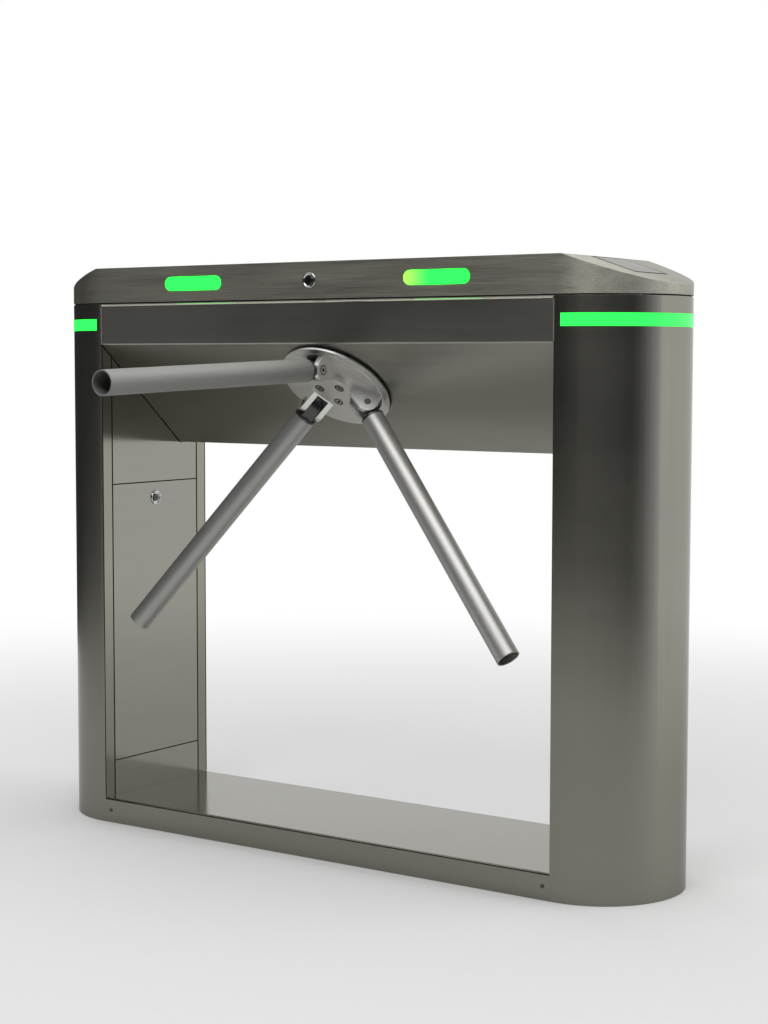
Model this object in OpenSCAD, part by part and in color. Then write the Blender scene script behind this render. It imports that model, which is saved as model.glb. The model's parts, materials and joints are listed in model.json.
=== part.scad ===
// Bridge type tripod turnstile: two round ended columns, a floor base, a beam with an inclined panel,
// a hinged lid, and a three arm rotor with its lock, drive and drop arms.
// The origin is on the floor under the middle of the cabinet. X runs along the cabinet and the arms
// stand out to -Y.

/* [Cabinet] */
// Overall length of the cabinet
cabinet_l = 1200; // [1000:10:1600]
// Overall depth of the cabinet
cabinet_d = 280; // [260:5:340]
// Overall height to the top of the lid
cabinet_h = 980; // [960:5:1100]
// Straight part of each column between its round end and its flat inner face
column_straight = 5; // [4:1:40]
// Thickness of the sheet metal
sheet = 2; // [1.5:0.1:2.5]
// Height of the base between the columns
base_h = 43; // [30:1:60]
// Width of the column's corner strips beside the doors
corner_strip_w = 26; // [20:1:34]

/* [Beam] */
// Height of the upright front band
band_h = 70; // [60:1:80]
// Angle of the inclined panel from the vertical
tilt = 49.5; // [45:0.5:53]
// Length of the inclined panel down its slope
panel_len = 273; // [250:1:280]

/* [Lid] */
// Height of the lid at its middle
lid_h = 59.6; // [56:0.1:66]
// Seam between the lid and the cabinet
lid_gap = 2.4; // [1.6:0.1:3]
// Drop of each sloped lid end
slope_drop = 44.9; // [35:0.1:46]
// Length of each sloped lid end along the cabinet
slope_l = 133.4; // [120:0.1:140]
// Length of each indicator light on the lid
oval_l = 122; // [90:1:140]
// Height of each indicator light on the lid
oval_h = 23; // [16:1:26]
// Distance of each indicator light from the middle
oval_x = 245.5; // [200:0.5:280]
// Height of the indicator lights above the lid's lower edge
oval_rise = 29.5; // [24:0.5:34]
// Length of the reader window down the slope
reader_l = 76; // [60:1:90]
// Width of the reader window
reader_w = 100; // [80:1:120]
// Distance from the slope's top edge to the reader window
reader_off = 5; // [4:0.5:12]

/* [Columns] */
// Height of the light strip round each column
strip_h = 20; // [14:1:26]
// Distance from the cabinet's top edge down to the light strip
strip_drop = 26; // [20:1:34]
// Distance from the column's inner face to the light strip
strip_off = 11; // [10:1:24]
// Height of the lower edge of the doors
door_z = 106.5; // [90:0.5:140]
// Distance from the beam's lower edge down to the doors' upper edge
door_drop = 71.2; // [60:0.1:140]
// Distance of the door lock below the door's top edge
door_lock_drop = 28; // [24:1:32]
// Diameter of the anchor holes in the floor plates
anchor_d = 14; // [10:1:18]
// Spacing of the anchor holes along the cabinet
anchor_x = 70; // [60:1:76]
// Distance of the anchor holes' middle from the column's inner face
anchor_in = 60; // [56:1:64]
// Spacing of the anchor holes across the cabinet
anchor_y = 150; // [130:1:160]

/* [Rotor and arms] */
// Distance from the fold under the band down the slope to the rotor axis
hub_drop = 101; // [96:1:110]
// Radius of the rotor disc
hub_r = 96; // [92:1:104]
// Radius of the circle of arm pivots
pin_circle_r = 64; // [60:1:68]
// Height of the arm pivots over the inclined panel
pin_h = 25; // [24:0.5:30]
// Outer diameter of the arm tubes
arm_d = 38; // [34:1:42]
// Wall of the arm tubes
arm_wall = 2; // [1.5:0.1:3]
// Distance from an arm's pivot to its tip
arm_len = 502; // [440:1:520]
// Sag of the upper arm under level, which all three arms share
arm_sag = 1.9; // [0:0.1:3]
// Diameter of the main shaft
shaft_d = 25; // [20:1:28]

/* [Hidden] */
$fn = 96;
eps = 0.5;                    // overrun of every cut
fit = 0.05;                   // radial clearance of turning and seated round parts
seat = 0.3;                   // clearance of pieces that sit beside each other
side_gap = 0.8;               // gap beside doors and fixed panels
bend_r = 4;                   // outer radius of the folds in the beam and the base
lip_r = 1.6;                  // rounding of the beam's upper edge
door_gap = 2;                 // gap over and under a door

column_r = cabinet_d / 2;
column_cx = cabinet_l / 2 - column_r;
inner_x = column_cx - column_straight;
front_y = -cabinet_d / 2;
back_y = cabinet_d / 2;
lid_z = cabinet_h - lid_h;
body_top = lid_z - lid_gap;
band_z = body_top - band_h;
panel_y = front_y + panel_len * sin(tilt);
panel_z = band_z - panel_len * cos(tilt);
span_x = inner_x - seat;      // half length of the parts between the columns
slope_a = atan2(slope_drop, slope_l);
slope_x = cabinet_l / 2 - slope_l;
hub_y = front_y + hub_drop * sin(tilt);
hub_z = band_z - hub_drop * cos(tilt);

// Column openings and doors
open_y = column_r - corner_strip_w;
flange_l = 14;                // depth of the corner strips' inward flanges
panel_half = open_y - side_gap;
return_l = 12;                // depth of the folded edges of doors and panels
door_top = panel_z - door_drop;
door_h = door_top - door_z;
window_w = 120;               // cable window between the columns and the beam
window_h = 110;
window_y = 40;
stud_r = 2.5;                 // pivot studs at the foot of a door
stud_l = 10;
stud_in = 8;
floor_t = 6;
gland_r = 14;                 // cable gland bore, barrel and flange
gland_body_r = 20;
gland_flange_r = 27;
gland_h = 14;
gland_flange_t = 5;
terminal = [60, 90, 45];
terminal_count = 7;
terminal_slot_d = 15;
anchor_cx = inner_x + anchor_in;

// Light strips
strip_t = 3;
strip_proud = 0.4;
board_t = 1.6;

// Base
duct_w = 120;
duct_t = 3;
rivet_r = 3.2;
rivet_t = 1;
rivet_in = 12;

// Cabinet top frame
rim_t = 2;
rim_clear = 4;                // from the top frame's foot to the light strip
rim_low = strip_drop - rim_clear;
rim_high = 7;

// Lock barrels
lock_flange_r = 13;
lock_flange_t = 2;
lock_r = 9.5;
plug_r = 6.5;
cam_w = 12;
cam_l = 36;
cam_t = 2.5;
lid_lock_l = 8;               // barrel of the lid's lock behind the sheet
key_w = 1.2;
key_l = 8;
key_d = 4;

// Lid lights and readers
lens_flange = 3;
lens_t = 1.5;
lens_proud = 0.8;
lid_board_t = 2;
reader_flange = 4;
reader_t = 1.5;
reader_proud = 0.3;
module_margin = 6;
module_h = 16;

// Lid hinges
hinge_off = 130;              // from the middle of a hinge to the start of the round end
hinge_x = column_cx - hinge_off;
hinge_w = 90;
hinge_leaf_h = 24;
hinge_leaf_t = 1.5;
knuckle_r = 3.5;
knuckle_gap = 0.5;
hinge_pin_r = 1.5;
hinge_y = back_y + knuckle_r + seat;
hinge_z = body_top + lid_gap / 2;

// Rotor
rim_disc_h = 8;               // height of the disc's rim over the panel
disc_t = 3.5;
step_r = hub_r - 11;
step_h = 1;
disc_top = rim_disc_h + step_h;
boss_r = 38;
boss_h = 20;
seal_w = 10;
seal_gap = 0.6;
ear_r = 17;
ear_t = 9;
slot_w = 22;
slot_r = 32;
slot_sink = 0.4;              // floor of a slot under the disc's top
ear_foot_r = 30;
ear_a = 30;
ear_in = 0.6;                 // flank of an ear inside its round end
arm_pin_r = 5;
pin_head_r = 7.5;
pin_head_t = 2.5;
pin_socket_r = 3;
pin_socket_d = 1.6;
ear_out = slot_w / 2 + ear_t;
screw_a = 60;                 // turn from an arm to the next screw
screw_circle_r = 23;
screw_head_r = 6.5;
screw_head_t = 4;
recess_gap = 1.1;             // dark gap round screw and pin heads in their counterbores
screw_r = 4;
screw_socket_r = 2.9;
screw_socket_d = 2.5;
screw_l = 22;
hub_hole_r = 41;
flange_r = 34;
flange_t = 10;
tongue_r = 14;
tongue_t = slot_w - 2 * side_gap;
collar_z = 20;
arm_start = 24;
plug_l = 40;
tip_seat_l = 30;              // turned seat for an end plug in an arm's open tip
tip_seat_d = 0.25;
arm_r = arm_d / 2;
arm_angles = [0, 120, 240];
arm_cone = tilt - arm_sag;      // angle from the rotor axis to each arm
shaft_r = shaft_d / 2;

// Mechanism depths behind the inclined panel
plate_t = 8;
front_plate_z = 10;
bearing_r = 26;
bearing_w = 15;
bearing_lip = 4;
bearing_boss_r = 34;
gear_z = 36;
gear_w = 10;
rear_plate_z = 54;
index_z = 82;
index_w = 8;
index_r = 56;
index_count = 12;
notch_w = 12;
notch_d = 8;
encoder_z = 98;
encoder_w = 3;
encoder_r = 30;
encoder_slots = 12;
encoder_slot_w = 4;
encoder_slot_l = 7;
shaft_end = 112;
wheel_hub_r = 19;
wheel_hub_w = 5;
front_plate = [300, 185];
front_plate_v = -10;
rear_plate = [290, 225];
rear_plate_v = -32;
standoff_r = 9;
standoff_x = 132;
standoff_v = 66;
pillar_r = 8;
pillar_x = 104;
pillar_v = 64;

// Drive gears
gear_m = 2.5;
gear_teeth = 56;
pinion_teeth = 16;
pressure_a = 20;
backlash = 0.2;
root_share = 1.25;            // depth of a tooth's root as a share of the module
gear_holes = 6;
gear_hole_r = 11;
gear_hole_circle_r = 42;
centre_gap = 0.2;
gear_r = gear_m * gear_teeth / 2;
pinion_r = gear_m * pinion_teeth / 2;
motor_c = gear_r + pinion_r + centre_gap;
motor_a = -20;
motor_x = motor_c * cos(motor_a);
motor_v = motor_c * sin(motor_a);
motor_shaft_r = 5;
gearbox_r = 29;
gearbox_l = 34;
motor_r = 24;
motor_l = 56;
motor_bore_l = 18;

// Locking solenoids
side_pawl_a = 90;             // directions of the pawls round the shaft
lower_pawl_a = 180;
pawl_gap = 2;
pawl_tip = [10, 8, 8];
plunger_r = 5;
plunger_l = 34;
coil_in = 74;
coil = [34, 52, 34];
coil_bore_l = 40;
pawl_r0 = index_r + pawl_gap;
pawl_z = index_z + index_w / 2;
sensor_w = 20;
sensor_t = 10;
sensor_gap = 2;

// Electrics on the beam's back wall
board = [160, 100, 1.6];
electrics_off = 205;          // from the column's inner face to the middle of board and supply
board_x = electrics_off - inner_x;
board_drop = 118;             // from the cabinet's top edge down to the board's middle
board_z = body_top - board_drop;
board_post = 8;
board_post_r = 4;
chip = [30, 24, 10];
supply = [160, 45, 98];
supply_x = inner_x - electrics_off;
supply_drop = 128;
supply_z = body_top - supply_drop;

steel = [0.52, 0.52, 0.49];
dark_steel = [0.36, 0.36, 0.34];
zinc = [0.70, 0.71, 0.72];
satin = [0.72, 0.72, 0.70];
black = [0.06, 0.06, 0.06];
green = [0.20, 1.00, 0.40];
pcb = [0.05, 0.30, 0.14];

// Shared shapes

// Right column outline in plan, drawn in by an inset
module column_2d(inset = 0) {
    r = column_r - inset;
    x0 = inner_x + max(inset, 0);
    intersection() {
        translate([column_cx, 0]) circle(r = r);
        translate([x0, -r]) square([2 * r, 2 * r]);
    }
    translate([x0, -r]) square([column_cx - x0, 2 * r]);
}

// Outline of the whole cabinet in plan
module stadium_2d(inset = 0) {
    for (s = [-1, 1]) translate([s * column_cx, 0]) circle(r = column_r - inset);
    square([2 * column_cx, 2 * (column_r - inset)], center = true);
}

// Pill outline
module pill_2d(l, h) {
    for (s = [-1, 1]) translate([s * (l - h) / 2, 0]) circle(r = h / 2);
    square([l - h, h], center = true);
}

// What a bend of radius r takes off a sharp corner p between edges in the unit directions d0 and d1
module bend_cut(p, d0, d1, r) {
    half = acos(d0 * d1) / 2;
    mid = (d0 + d1) / norm(d0 + d1);
    c = p + mid * r / sin(half);
    out0 = p + d0 * r / tan(half) - c;
    out1 = p + d1 * r / tan(half) - c;
    difference() {
        polygon([c, c + out0 * (r + eps) / r, p - mid * 2 * eps, c + out1 * (r + eps) / r]);
        translate(c) circle(r = r);
    }
}

// Extrudes an outline given in Y and Z along X, centred
module along_x(l) {
    translate([-l / 2, 0, 0]) rotate([90, 0, 90]) linear_extrude(l) children();
}

// Extrudes an outline given in X and Z along +Y from a start
module along_y(y, t) {
    translate([0, y + t, 0]) rotate([90, 0, 0]) linear_extrude(t) children();
}

// Rotor frame: x along the cabinet, y up the slope, z out of the inclined panel
module at_hub() {
    translate([0, hub_y, hub_z]) rotate([90 + tilt, 0, 0]) children();
}

// Frame of one arm's pivot, still square to the rotor
module at_pivot(i) {
    at_hub() rotate([0, 0, -arm_angles[i]]) translate([0, pin_circle_r, pin_h]) children();
}

// Arm frame with z along the arm
module at_arm(i) {
    at_pivot(i) rotate([-arm_cone, 0, 0]) children();
}

// A disc or bar behind the panel, at a depth and with a thickness
module behind(depth, t) {
    translate([0, 0, -depth - t]) linear_extrude(t) children();
}

// Columns

module column_shell() {
    difference() {
        linear_extrude(body_top) column_2d();
        translate([0, 0, -eps]) linear_extrude(body_top + 2 * eps) column_2d(sheet);
        translate([inner_x - eps, -open_y, -eps])
            cube([sheet + 2 * eps, 2 * open_y, body_top + 2 * eps]);
        strip_slot();
        // room for the top frame where it passes the corner strips
        for (s = [-1, 1]) scale([1, s, 1])
            translate([inner_x - eps, column_r - 2 * sheet - rim_t, body_top - rim_low - side_gap])
                cube([sheet + 2 * eps, sheet + rim_t, rim_low + 2 * side_gap]);
    }
    for (s = [-1, 1]) corner_flange(s);
}

// Inward flange of one corner strip, with the stud that a door tilts on
module corner_flange(s) {
    y0 = s > 0 ? open_y : -open_y - sheet;
    translate([inner_x, y0, 0]) cube([flange_l, sheet, body_top]);
    translate([inner_x + stud_in, s * (open_y + sheet / 2), door_z + stud_in])
        rotate([s * 90, 0, 0]) cylinder(r = stud_r, h = stud_l);
}

// Ring shaped slot for the light strip
module strip_slot(grow = 0) {
    translate([inner_x + strip_off - grow, -column_r - eps, body_top - strip_drop - strip_h - grow])
        cube([2 * column_r + eps, 2 * column_r + 2 * eps, strip_h + 2 * grow]);
}

module right_column_shell() { color(steel) column_shell(); }
module left_column_shell() { color(steel) mirror([1, 0, 0]) column_shell(); }

// Lens that fills the slot, round the column's end
module strip_lens() {
    intersection() {
        translate([0, 0, body_top - strip_drop - strip_h + seat])
            linear_extrude(strip_h - 2 * seat) difference() {
                column_2d(-strip_proud);
                column_2d(strip_t);
            }
        strip_slot(-seat);
    }
}

// Thin light board that follows the lens from inside
module strip_board() {
    intersection() {
        translate([0, 0, body_top - strip_drop - strip_h + 2 * seat])
            linear_extrude(strip_h - 4 * seat) difference() {
                column_2d(strip_t + seat);
                column_2d(strip_t + seat + board_t);
            }
        strip_slot(-2 * seat);
    }
}

module right_strip_lens() { color(green) strip_lens(); }
module left_strip_lens() { color(green) mirror([1, 0, 0]) strip_lens(); }
module strip_boards() {
    color(pcb) strip_board();
    color(pcb) mirror([1, 0, 0]) strip_board();
}

// Flat plate in the column's inner face with its upper or lower edge folded inwards
module face_plate(z0, z1) {
    translate([inner_x, -panel_half, z0]) cube([sheet, 2 * panel_half, z1 - z0]);
}

module upper_panel() {
    z0 = door_top + door_gap;
    difference() {
        union() {
            face_plate(z0, body_top);
            translate([inner_x, -panel_half, z0]) cube([return_l, 2 * panel_half, sheet]);
        }
        translate([inner_x - eps, window_y - window_w / 2, (band_z + panel_z) / 2 + sheet])
            cube([sheet + 2 * eps, window_w, window_h]);
    }
}

module lower_panel() {
    z1 = door_z - door_gap;
    face_plate(floor_t + seat, z1);
    translate([inner_x, -panel_half, z1 - sheet]) cube([return_l, 2 * panel_half, sheet]);
}

module right_upper_panel() { color(steel) upper_panel(); }
module left_upper_panel() { color(steel) mirror([1, 0, 0]) upper_panel(); }
module right_lower_panel() { color(steel) lower_panel(); }
module left_lower_panel() { color(steel) mirror([1, 0, 0]) lower_panel(); }

// Floor plate with the anchor holes, and the hole of the cable gland on the left
module floor_plate(gland) {
    difference() {
        linear_extrude(floor_t) column_2d(sheet + seat);
        for (sx = [-1, 1], sy = [-1, 1])
            translate([anchor_cx + sx * anchor_x / 2, sy * anchor_y / 2, -eps])
                cylinder(d = anchor_d, h = floor_t + 2 * eps);
        if (gland) translate([anchor_cx, 0, -eps])
            cylinder(r = gland_body_r + fit, h = floor_t + 2 * eps);
        // room for the corner flanges
        for (s = [-1, 1]) translate([inner_x - eps, s * (open_y + sheet / 2) - sheet, -eps])
            cube([flange_l + eps + seat, 2 * sheet, floor_t + 2 * eps]);
    }
}

module right_floor_plate() { color(zinc) floor_plate(false); }
module left_floor_plate() { color(zinc) mirror([1, 0, 0]) floor_plate(true); }

module cable_gland() {
    color(black) mirror([1, 0, 0]) translate([anchor_cx, 0, 0]) difference() {
        union() {
            cylinder(r = gland_body_r, h = gland_h + floor_t);
            translate([0, 0, floor_t]) cylinder(r = gland_flange_r, h = gland_flange_t);
        }
        translate([0, 0, -eps]) cylinder(r = gland_r, h = gland_h + floor_t + 2 * eps);
    }
}

// Row of terminals that stands on the right floor plate
module terminal_block() {
    color(pcb) translate([anchor_cx - terminal[0] / 2, -terminal[1] / 2, floor_t]) difference() {
        cube(terminal);
        for (i = [1:terminal_count - 1])
            translate([-eps, i * terminal[1] / terminal_count - sheet / 2, terminal[2] - terminal_slot_d])
                cube([terminal[0] + 2 * eps, sheet, terminal[2]]);
    }
}

// Doors

module door_leaf() {
    difference() {
        union() {
            face_plate(door_z, door_top);
            for (z = [door_z, door_top - sheet])
                translate([inner_x, -panel_half, z]) cube([return_l, 2 * panel_half, sheet]);
            for (y = [-panel_half, panel_half - sheet])
                translate([inner_x, y, door_z]) cube([return_l, sheet, door_h]);
        }
        translate([inner_x + stud_in, -panel_half - eps, door_z + stud_in]) rotate([-90, 0, 0])
            cylinder(r = stud_r + fit, h = 2 * panel_half + 2 * eps);
        translate([inner_x - eps, 0, door_top - door_lock_drop]) rotate([0, 90, 0])
            cylinder(r = lock_r + fit, h = sheet + 2 * eps);
    }
}

// Lock frame: z runs into the cabinet from the face that carries the lock
module at_door_lock() {
    translate([inner_x, 0, door_top - door_lock_drop]) rotate([0, 90, 0]) children();
}

module lock_barrel(l) {
    difference() {
        union() {
            translate([0, 0, -lock_flange_t]) cylinder(r = lock_flange_r, h = lock_flange_t);
            cylinder(r = lock_r, h = l);
        }
        translate([0, 0, -lock_flange_t - eps])
            cylinder(r = plug_r + fit, h = l + lock_flange_t + 2 * eps);
    }
}

// Turning plug with its key slot and its cam, which points along the given direction
module lock_plug(l, cam_a) {
    difference() {
        translate([0, 0, -lock_flange_t]) cylinder(r = plug_r, h = l + lock_flange_t + seat);
        translate([-key_w / 2, -key_l / 2, -lock_flange_t - eps]) cube([key_w, key_l, key_d]);
    }
    rotate([0, 0, cam_a]) translate([0, 0, l + seat]) {
        cylinder(r = cam_w / 2, h = cam_t);
        translate([0, -cam_w / 2, 0]) cube([cam_l, cam_w, cam_t]);
    }
}

module right_door() { color(steel) door_leaf(); }
module left_door() { color(steel) mirror([1, 0, 0]) door_leaf(); }
module door_lock_barrels_right() { color(satin) at_door_lock() lock_barrel(return_l); }
module door_lock_barrels_left() { color(satin) mirror([1, 0, 0]) at_door_lock() lock_barrel(return_l); }
module right_lock_plug() { color(zinc) at_door_lock() lock_plug(return_l, 90); }
module left_lock_plug() { color(zinc) mirror([1, 0, 0]) at_door_lock() lock_plug(return_l, 90); }

// Base

module base_cover() {
    color(steel) difference() {
        along_x(2 * span_x) difference() {
            translate([front_y, 0]) square([cabinet_d, base_h]);
            for (s = [-1, 1]) bend_cut([s * front_y, base_h], [s, 0], [0, -1], bend_r);
        }
        translate([-span_x - eps, front_y + sheet, -eps])
            cube([2 * span_x + 2 * eps, cabinet_d - 2 * sheet, base_h - sheet + eps]);
        for (sx = [-1, 1]) translate([sx * (span_x - rivet_in), front_y - eps, base_h / 2])
            rotate([-90, 0, 0]) cylinder(r = rivet_r / 2 + fit, h = sheet + 2 * eps);
    }
}

module base_rivets() {
    color(satin) for (sx = [-1, 1]) translate([sx * (span_x - rivet_in), front_y, base_h / 2]) {
        rotate([90, 0, 0]) cylinder(r = rivet_r, h = rivet_t);
        rotate([-90, 0, 0]) cylinder(r = rivet_r / 2, h = 2 * sheet);
    }
}

// Cable duct that carries the base's top
module base_duct() {
    color(zinc) difference() {
        translate([-span_x, -duct_w / 2, 0]) cube([2 * span_x, duct_w, base_h - sheet]);
        translate([-span_x - eps, -duct_w / 2 + duct_t, duct_t])
            cube([2 * span_x + 2 * eps, duct_w - 2 * duct_t, base_h]);
    }
}

// Beam

// Folded front of the beam: upright band, inclined panel, floor of the beam
module beam_profile() {
    fold_in = sheet * tan(tilt / 2);
    foot_in = sheet * tan((90 - tilt) / 2);
    difference() {
        polygon([[front_y, body_top], [front_y, band_z], [panel_y, panel_z], [back_y - sheet - seat, panel_z],
            [back_y - sheet - seat, panel_z + sheet], [panel_y + foot_in, panel_z + sheet],
            [front_y + sheet, band_z + fold_in], [front_y + sheet, body_top]]);
        bend_cut([front_y, body_top], [1, 0], [0, -1], lip_r);
        bend_cut([front_y, band_z], [0, 1], [sin(tilt), -cos(tilt)], bend_r);
    }
}

module beam_front() {
    color(dark_steel) difference() {
        along_x(2 * span_x) beam_profile();
        at_hub() translate([0, 0, -2 * sheet]) cylinder(r = hub_hole_r, h = 3 * sheet);
    }
}

module beam_back() {
    color(steel) translate([-span_x, back_y - sheet, panel_z]) cube([2 * span_x, sheet, body_top - panel_z]);
}

// Upstand that the lid closes over
module top_frame() {
    color(dark_steel) translate([0, 0, body_top - rim_low])
        linear_extrude(rim_low + rim_high) difference() {
            stadium_2d(sheet + side_gap / 2);
            stadium_2d(sheet + side_gap / 2 + rim_t);
        }
}

// Lid hinges

module hinge_leaf(z0) {
    translate([-hinge_w / 2, back_y, z0]) cube([hinge_w, hinge_leaf_t, hinge_leaf_h]);
}

// One stretch of knuckle along the hinge line
module knuckle(x0, l, r) {
    translate([x0, hinge_y, hinge_z]) rotate([0, 90, 0]) cylinder(r = r, h = l);
}

module lid_hinge_fixed() {
    third = hinge_w / 3;
    color(satin) for (s = [-1, 1]) translate([s * hinge_x, 0, 0]) difference() {
        union() {
            hinge_leaf(hinge_z - knuckle_r / 2 - hinge_leaf_h);
            knuckle(-third / 2, third, knuckle_r);
        }
        knuckle(-third / 2 - eps, third + 2 * eps, hinge_pin_r + fit);
        for (e = [-1, 1]) translate([e * third - (third + knuckle_gap) / 2, 0, 0])
            knuckle_room(third + knuckle_gap);
    }
}

// Space that the other leaf's knuckles turn in
module knuckle_room(l) {
    translate([0, hinge_y, hinge_z]) rotate([0, 90, 0]) cylinder(r = knuckle_r + seat, h = l);
}

module lid_hinge_moving() {
    third = hinge_w / 3;
    color(satin) for (s = [-1, 1]) translate([s * hinge_x, 0, 0]) {
        difference() {
            union() {
                hinge_leaf(hinge_z + knuckle_r / 2);
                for (e = [-1, 1]) knuckle(e * third - third / 2, third, knuckle_r);
            }
            translate([-(third + 2 * knuckle_gap) / 2, 0, 0]) knuckle_room(third + 2 * knuckle_gap);
        }
        knuckle(-hinge_w / 2, hinge_w, hinge_pin_r);
    }
}

// Lid

// Lid outline seen from the front, drawn in by an inset
module lid_profile(inset = 0) {
    drop_in = inset / cos(slope_a);
    turn_x = slope_x + (inset - drop_in) / tan(slope_a);
    low = inset > 0 ? lid_z - eps : lid_z;
    end_z = cabinet_h - slope_drop - drop_in;
    polygon([[-cabinet_l / 2, low], [cabinet_l / 2, low], [cabinet_l / 2, end_z],
        [turn_x, cabinet_h - inset], [-turn_x, cabinet_h - inset], [-cabinet_l / 2, end_z]]);
}

module lid_solid(inset) {
    intersection() {
        translate([0, 0, lid_z - 2 * eps]) linear_extrude(lid_h + 4 * eps) stadium_2d(inset);
        along_y(front_y - eps, cabinet_d + 2 * eps) lid_profile(inset);
    }
}

// Slope frame on the right end: x down the slope, z out of it
module at_slope() {
    translate([slope_x, 0, cabinet_h]) rotate([0, slope_a, 0]) children();
}

module reader_block(grow, z0, t) {
    at_slope() translate([reader_off - grow, -reader_w / 2 - grow, z0])
        cube([reader_l + 2 * grow, reader_w + 2 * grow, t]);
}

module top_lid() {
    color(steel) difference() {
        lid_solid(0);
        lid_solid(sheet);
        for (s = [-1, 1]) translate([s * oval_x, 0, lid_z + oval_rise])
            along_y(front_y - eps, sheet + 2 * eps) pill_2d(oval_l, oval_h);
        reader_block(0, -2 * sheet, 3 * sheet);
        mirror([1, 0, 0]) reader_block(0, -2 * sheet, 3 * sheet);
        at_lid_lock() translate([0, 0, -eps]) cylinder(r = lock_r + fit, h = sheet + 2 * eps);
    }
}

module lid_lenses() {
    color(green) for (s = [-1, 1]) translate([s * oval_x, 0, lid_z + oval_rise]) {
        along_y(front_y - lens_proud, sheet + lens_proud + lens_t)
            pill_2d(oval_l - 2 * seat, oval_h - 2 * seat);
        along_y(front_y + sheet, lens_t) pill_2d(oval_l + 2 * lens_flange, oval_h + 2 * lens_flange);
    }
}

module lid_boards() {
    color(pcb) for (s = [-1, 1]) translate([s * oval_x, 0, lid_z + oval_rise])
        along_y(front_y + sheet + lens_t, lid_board_t)
            square([oval_l + 2 * lens_flange, oval_h + 2 * lens_flange], center = true);
}

module reader_window() {
    reader_block(-seat, -sheet - reader_t, sheet + reader_t + reader_proud);
    reader_block(reader_flange - seat, -sheet - reader_t, reader_t);
}

module reader_windows() {
    color(black) reader_window();
    color(black) mirror([1, 0, 0]) reader_window();
}

module reader_modules() {
    color(pcb) reader_block(-module_margin, -sheet - reader_t - module_h, module_h);
    color(pcb) mirror([1, 0, 0]) reader_block(-module_margin, -sheet - reader_t - module_h, module_h);
}

// Lid lock frame: z runs inwards through the lid's front
module at_lid_lock() {
    translate([0, front_y, lid_z + oval_rise]) rotate([-90, 0, 0]) children();
}

module lid_lock_barrel() { color(satin) at_lid_lock() lock_barrel(lid_lock_l); }
module lid_lock_plug() { color(zinc) at_lid_lock() lock_plug(lid_lock_l, 0); }

// Rotor

// Side of one pivot ear in the plane of its arm
module ear_2d() {
    foot = disc_top - step_h;
    flank_r = ear_r - ear_in;
    translate([pin_circle_r, pin_h]) circle(r = ear_r);
    polygon([[ear_foot_r, foot], [ear_foot_r, boss_h],
        [pin_circle_r - flank_r * sin(ear_a), pin_h + flank_r * cos(ear_a)], [pin_circle_r, pin_h],
        [pin_circle_r + flank_r, pin_h], [pin_circle_r + flank_r, foot]]);
}

// Hole along one arm's pivot line, between two distances from the middle of the slot
module pin_hole(i, r, x0, x1) {
    at_pivot(i) translate([x0, 0, 0]) rotate([0, 90, 0]) cylinder(r = r, h = x1 - x0);
}

module hub_disc() {
    color(satin) difference() {
        at_hub() difference() {
            union() {
                translate([0, 0, rim_disc_h - disc_t]) cylinder(r = hub_r, h = disc_t);
                translate([0, 0, rim_disc_h - disc_t]) cylinder(r = step_r, h = disc_t + step_h);
                translate([0, 0, rim_disc_h - disc_t])
                    cylinder(r = boss_r, h = boss_h - rim_disc_h + disc_t);
                for (a = arm_angles) rotate([0, 0, -a]) along_x(2 * ear_out) ear_2d();
            }
            for (a = arm_angles) rotate([0, 0, -a])
                translate([-slot_w / 2, slot_r, disc_top - slot_sink])
                    cube([slot_w, pin_circle_r + ear_r + side_gap - slot_r, hub_r]);
            for (a = arm_angles) rotate([0, 0, screw_a - a]) translate([0, screw_circle_r, 0]) {
                cylinder(r = screw_r + fit, h = boss_h + eps);
                translate([0, 0, boss_h - screw_head_t])
                    cylinder(r = screw_head_r + recess_gap, h = screw_head_t + eps);
            }
        }
        for (i = [0:2]) {
            pin_hole(i, arm_pin_r + fit, -ear_out - eps, ear_out + eps);
            pin_hole(i, pin_head_r + recess_gap, ear_out - pin_head_t, ear_out + eps);
        }
    }
}

// Dark ring that closes the gap behind the disc
module hub_seal() {
    color(black) at_hub() translate([0, 0, seal_gap]) difference() {
        cylinder(r = hub_r - sheet, h = rim_disc_h - disc_t - seal_gap);
        translate([0, 0, -eps]) cylinder(r = hub_r - sheet - seal_w, h = rim_disc_h);
    }
}

module hub_screws() {
    color(zinc) at_hub() for (a = arm_angles) rotate([0, 0, screw_a - a]) translate([0, screw_circle_r, 0])
        difference() {
            union() {
                translate([0, 0, boss_h - screw_head_t]) cylinder(r = screw_head_r, h = screw_head_t);
                translate([0, 0, boss_h - screw_l]) cylinder(r = screw_r, h = screw_l - eps);
            }
            translate([0, 0, boss_h - screw_socket_d]) cylinder(r = screw_socket_r, h = screw_l, $fn = 6);
        }
}

module main_shaft() {
    top = rim_disc_h - disc_t;
    color(zinc) at_hub() difference() {
        union() {
            translate([0, 0, -shaft_end]) cylinder(r = shaft_r, h = shaft_end + top);
            translate([0, 0, top - flange_t]) cylinder(r = flange_r, h = flange_t);
        }
        for (a = arm_angles) rotate([0, 0, screw_a - a])
            translate([0, screw_circle_r, boss_h - screw_l - seat]) cylinder(r = screw_r + fit, h = screw_l);
    }
}

module arm_pins() {
    color(zinc) for (i = [0:2]) difference() {
        union() {
            pin_hole(i, arm_pin_r, -ear_out, ear_out - seat);
            pin_hole(i, pin_head_r, ear_out - pin_head_t, ear_out);
        }
        at_pivot(i) translate([ear_out - pin_socket_d, 0, 0]) rotate([0, 90, 0])
            cylinder(r = pin_socket_r, h = pin_head_t, $fn = 6);
    }
}

// Arms

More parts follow.
